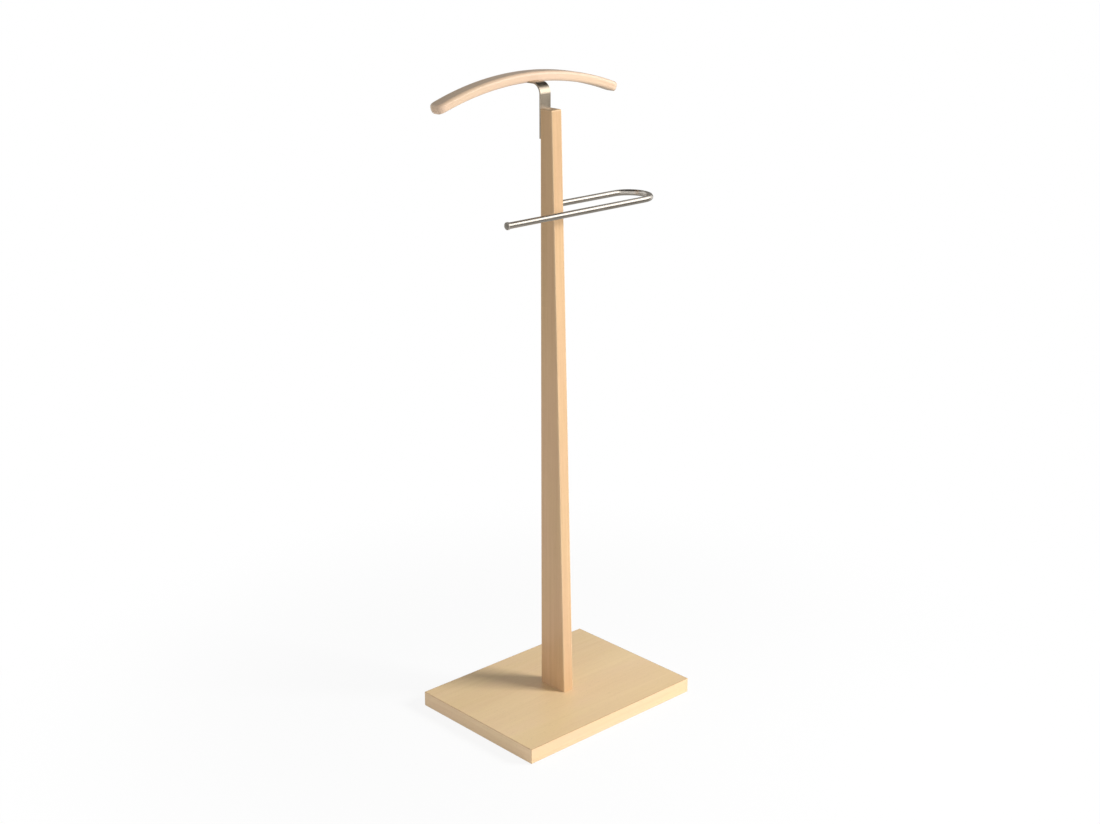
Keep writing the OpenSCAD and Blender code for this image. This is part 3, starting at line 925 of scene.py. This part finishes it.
def make_bolts():
    """Two hexagon socket bolts on washers, in the counterbores under the base."""
    seat = washers_low.z
    washer_t = washers_high.z - washers_low.z
    bolt_l = bolts_high.z - seat
    head = [
        (0, -BOLT_HEAD_H),
        (BOLT_HEAD_R, -BOLT_HEAD_H),
        (BOLT_HEAD_R, 0),
        (BOLT_R, 0),
        (BOLT_R, bolt_l),
        (0, bolt_l),
    ]
    head = fillet(head, [0, 0.6 * MM, 0.2 * MM, 0, 0.6 * MM, 0], 3)
    bore = BOLT_R + CLEAR / 2
    ring = [(bore, 0), (WASHER_R, 0), (WASHER_R, washer_t), (bore, washer_t)]
    ring = fillet(ring, [0, 0.3 * MM, 0.3 * MM, 0], 3)
    key_r = BOLT_KEY / 2 / math.cos(math.radians(30))  # from its middle to its corners
    key_depth = 3 * MM
    for number, y in enumerate(bolt_places, 1):
        bolt = lathe(f"post_bolt_{number}", head, (0, y, seat), UP, steps=48)
        key = drill((0, y, seat - BOLT_HEAD_H), UP, key_r, key_depth, steps=6)
        dress(shade(cut(bolt, [key])), zinc_finish, "zinc_steel", "post_bolts")
        washer = lathe(f"washer_{number}", ring, (0, y, seat), UP, closed=True, steps=48)
        dress(shade(washer), zinc_finish, "zinc_steel", "bolt_washers")


make_base()
make_post()
make_bracket()
make_hanger()
make_bar()
make_stop()
make_screws()
make_glides()
make_bolts()
keep("post_inserts", brass_finish)
keep("post_dowel", dowel_finish)


# ---------- Camera, light and floor ----------

CAMERA_PLACE = Vector((-2.0325, -2.1732, 1.5696))
CAMERA_TURN = math.radians(47.183)  # from +X towards +Y
CAMERA_TILT = math.radians(18.441)  # below level
CAMERA_LENS = 56.93  # millimetres
CAMERA_SENSOR = 36  # millimetres wide

LEVEL_AMBIENT, TOP_AMBIENT = 0.66, 0.175  # the world's strength at the horizon and overhead
KEY_SPREAD = math.radians(95)
FLOOR_HALF = 40
PLAIN_FROM, PLAIN_TO = 0.35, 1.1  # how far from the middle the floor turns plain white
PLAIN_NEAR = 0.89  # how plain it is close to the object, where it keeps the shadow
FLAG_GREY = (1.0, 0.98, 0.93, 1.0)
FLAG_BROWN = (1.0, 0.94, 0.84, 1.0)
SOFTBOX_WHITE = (1.0, 0.985, 0.965, 1.0)
CARDS = (  # name, place, aim, width, height, strength and colour
    ("softbox_front", (0.98, -0.69, 1.58), (0, 0, 1.58), 1.2, 0.86, 3.0, SOFTBOX_WHITE),
    ("softbox_rim", (0.98, -0.69, 2.15), (0, 0, 2.15), 1.2, 0.28, 1.2, SOFTBOX_WHITE),
    ("softbox_low", (0.98, -0.69, 1.06), (0, 0, 1.06), 1.2, 0.18, 0.3, SOFTBOX_WHITE),
    ("flag_right", (0.89, -0.80, 0.46), (0, 0, 0.46), 1.2, 1.0, 0.14, FLAG_BROWN),
    ("flag_behind", (0.80, 0.86, 1.35), (0, 0, 1.35), 1.5, 1.6, 0.30, FLAG_GREY),
    ("flag_high", (0.60, 0.16, 1.86), (0, 0, 1.16), 0.8, 0.42, 0.02, FLAG_BROWN),
    ("flag_side", (-0.66, 0.72, 0.86), (0, 0, 1.14), 0.6, 0.5, 0.14, FLAG_GREY),
    ("flag_under", (0.33, 0.05, 0.75), (0.33, 0.05, 1.0), 0.7, 0.8, 0.42, FLAG_GREY),
    ("flag_left", (-0.60, 0.45, 0.75), (-0.17, -0.06, 0.953), 0.5, 0.5, 0.30, FLAG_GREY),
    ("flag_above", (0, 0, 2.4), (0, 0, 1.0), 2.2, 2.4, 0.06, FLAG_GREY),
)


def make_camera():
    """The camera at the photo's viewing angle."""
    camera = bpy.data.objects.new("camera", bpy.data.cameras.new("camera"))
    camera.data.sensor_width = CAMERA_SENSOR
    camera.data.lens = CAMERA_LENS
    camera.data.clip_end = 100
    camera.location = CAMERA_PLACE
    level, fall = math.cos(CAMERA_TILT), math.sin(CAMERA_TILT)
    look = Vector((level * math.cos(CAMERA_TURN), level * math.sin(CAMERA_TURN), -fall))
    camera.rotation_euler = look.to_track_quat("-Z", "Y").to_euler()
    bpy.context.scene.collection.objects.link(camera)
    bpy.context.scene.camera = camera


def make_light(name, place, target, width, height, power):
    """A rectangular lamp that neither the camera nor reflections see."""
    light = bpy.data.lights.new(name, "AREA")
    light.shape = "RECTANGLE"
    light.size = width
    light.size_y = height
    light.energy = power
    obj = bpy.data.objects.new(name, light)
    obj.location = place
    obj.rotation_euler = (Vector(target) - Vector(place)).to_track_quat("-Z", "Y").to_euler()
    obj.visible_camera = False
    obj.visible_glossy = False
    bpy.context.scene.collection.objects.link(obj)
    return light


def make_card(name, place, target, width, height, strength, colour):
    """A softbox front or a dark flag that only reflections see."""
    bm = bmesh.new()
    bmesh.ops.create_grid(bm, x_segments=1, y_segments=1, size=0.5)
    for vert in bm.verts:
        vert.co.x *= width
        vert.co.y *= height
    card = new_object(name, bm)
    card.location = place
    card.rotation_euler = (Vector(target) - Vector(place)).to_track_quat("Z", "Y").to_euler()
    material = bpy.data.materials.new(name)
    material.use_nodes = True
    tree = material.node_tree
    tree.nodes.clear()
    glow = tree.nodes.new("ShaderNodeEmission")
    glow.inputs["Color"].default_value = colour
    glow.inputs["Strength"].default_value = strength
    output = tree.nodes.new("ShaderNodeOutputMaterial")
    tree.links.new(glow.outputs[0], output.inputs[0])
    material.cycles.emission_sampling = "NONE"  # it isn't a lamp, and would add noise to the wood
    card.data.materials.append(material)
    card.visible_camera = False
    card.visible_diffuse = False
    card.visible_shadow = False
    card.visible_transmission = False
    card.visible_volume_scatter = False


def white_rays(tree):
    """1 for camera, glossy and transmission rays, and 0 for the rest."""
    rays = tree.nodes.new("ShaderNodeLightPath")
    socket = rays.outputs["Is Camera Ray"]
    for name in ("Is Glossy Ray", "Is Transmission Ray"):
        node = tree.nodes.new("ShaderNodeMath")
        node.operation = "MAXIMUM"
        tree.links.new(socket, node.inputs[0])
        tree.links.new(rays.outputs[name], node.inputs[1])
        socket = node.outputs[0]
    return socket


def make_world():
    """White for the camera and in reflections, and a light that is softer from above."""
    world = bpy.data.worlds.new("studio")
    bpy.context.scene.world = world
    world.use_nodes = True
    tree = world.node_tree
    tree.nodes.clear()
    direction = tree.nodes.new("ShaderNodeTexCoord")
    parts = tree.nodes.new("ShaderNodeSeparateXYZ")
    tree.links.new(direction.outputs["Generated"], parts.inputs[0])
    ambient = tree.nodes.new("ShaderNodeMapRange")
    ambient.inputs[3].default_value = LEVEL_AMBIENT
    ambient.inputs[4].default_value = TOP_AMBIENT
    tree.links.new(parts.outputs["Z"], ambient.inputs[0])
    strength = tree.nodes.new("ShaderNodeMapRange")
    tree.links.new(ambient.outputs[0], strength.inputs[3])
    strength.inputs[4].default_value = 1.0
    tree.links.new(white_rays(tree), strength.inputs[0])
    background = tree.nodes.new("ShaderNodeBackground")
    background.inputs["Color"].default_value = (1, 1, 1, 1)
    tree.links.new(strength.outputs[0], background.inputs["Strength"])
    output = tree.nodes.new("ShaderNodeOutputWorld")
    tree.links.new(background.outputs[0], output.inputs[0])


def make_floor():
    """A wide white floor that keeps the object's shadow close to it."""
    bm = bmesh.new()
    bmesh.ops.create_grid(bm, x_segments=1, y_segments=1, size=FLOOR_HALF)
    floor = new_object("floor", bm)
    material = bpy.data.materials.new("floor_white")
    material.use_nodes = True
    tree = material.node_tree
    tree.nodes.clear()
    place = tree.nodes.new("ShaderNodeTexCoord")
    distance = tree.nodes.new("ShaderNodeVectorMath")
    distance.operation = "LENGTH"
    tree.links.new(place.outputs["Object"], distance.inputs[0])
    plain = tree.nodes.new("ShaderNodeMapRange")
    plain.interpolation_type = "SMOOTHSTEP"
    for index, value in enumerate((PLAIN_FROM, PLAIN_TO, PLAIN_NEAR, 1.0), 1):
        plain.inputs[index].default_value = value
    tree.links.new(distance.outputs["Value"], plain.inputs[0])
    share = tree.nodes.new("ShaderNodeMath")
    share.operation = "MULTIPLY"
    tree.links.new(white_rays(tree), share.inputs[0])
    tree.links.new(plain.outputs[0], share.inputs[1])
    paint = tree.nodes.new("ShaderNodeBsdfDiffuse")
    paint.inputs["Color"].default_value = (0.9, 0.9, 0.9, 1)
    white = tree.nodes.new("ShaderNodeEmission")
    white.inputs["Strength"].default_value = 1.0
    mixed = tree.nodes.new("ShaderNodeMixShader")
    tree.links.new(share.outputs[0], mixed.inputs[0])
    tree.links.new(paint.outputs[0], mixed.inputs[1])
    tree.links.new(white.outputs[0], mixed.inputs[2])
    output = tree.nodes.new("ShaderNodeOutputMaterial")
    tree.links.new(mixed.outputs[0], output.inputs[0])
    floor.data.materials.append(material)


make_camera()
make_world()
make_floor()
key = make_light("key", (1.40, -2.07, 1.70), (-0.3, 0.1, 0.15), 0.95, 0.9, 25.5)
key.spread = KEY_SPREAD
make_light("fill", (-2.4, 0.5, 0.75), (0, 0, 0.6), 1.5, 1.0, 6.2)
for card in CARDS:
    make_card(*card)

bpy.context.scene.view_settings.view_transform = "Standard"
